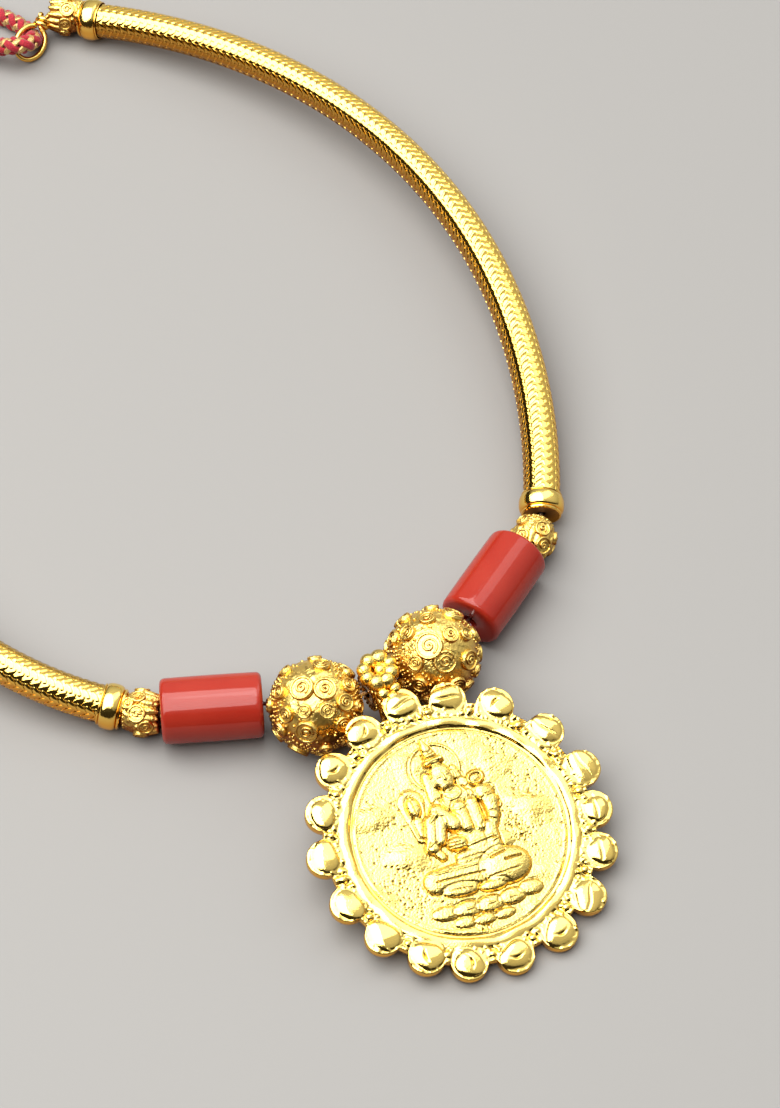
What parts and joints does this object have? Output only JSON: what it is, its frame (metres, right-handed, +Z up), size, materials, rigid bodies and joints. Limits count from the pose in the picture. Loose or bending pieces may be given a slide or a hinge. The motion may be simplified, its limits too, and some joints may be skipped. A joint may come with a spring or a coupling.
{
  "type": "temple necklace",
  "caption": "Gold temple necklace lying flat: braided tubes, filigree and coral beads, a round medallion with a seated goddess, tied at the back by a red and gold thread.",
  "frame": {"origin": "middle of the necklace's bounding box without its thread, on the surface it lies on", "axes": "+Y toward the back of the neck, where the thread ties; +X to the right seen from above with the pendant nearest the viewer; +Z up from the surface"},
  "size_m": [0.1162, 0.2114, 0.0146],
  "materials": {
    "gold": "polished gold plating",
    "coral": "polished red coral",
    "wire": "plain stringing wire",
    "thread": "braided red thread with gold strands"
  },
  "bodies": {
    "root": {"pendant": "gold", "ball_right": "gold", "ball_left": "gold", "coral_right": "coral", "coral_left": "coral", "cap_front_right": "gold", "cap_front_left": "gold", "cap_back_right": "gold", "cap_back_left": "gold", "collar_front_right": "gold", "collar_front_left": "gold", "collar_back_right": "gold", "collar_back_left": "gold", "tube_right": "gold", "tube_left": "gold", "eye_right": "gold", "eye_left": "gold", "stringing_wire": "wire", "thread": "thread", "thread_knot": "thread"}
  },
  "joints": []
}
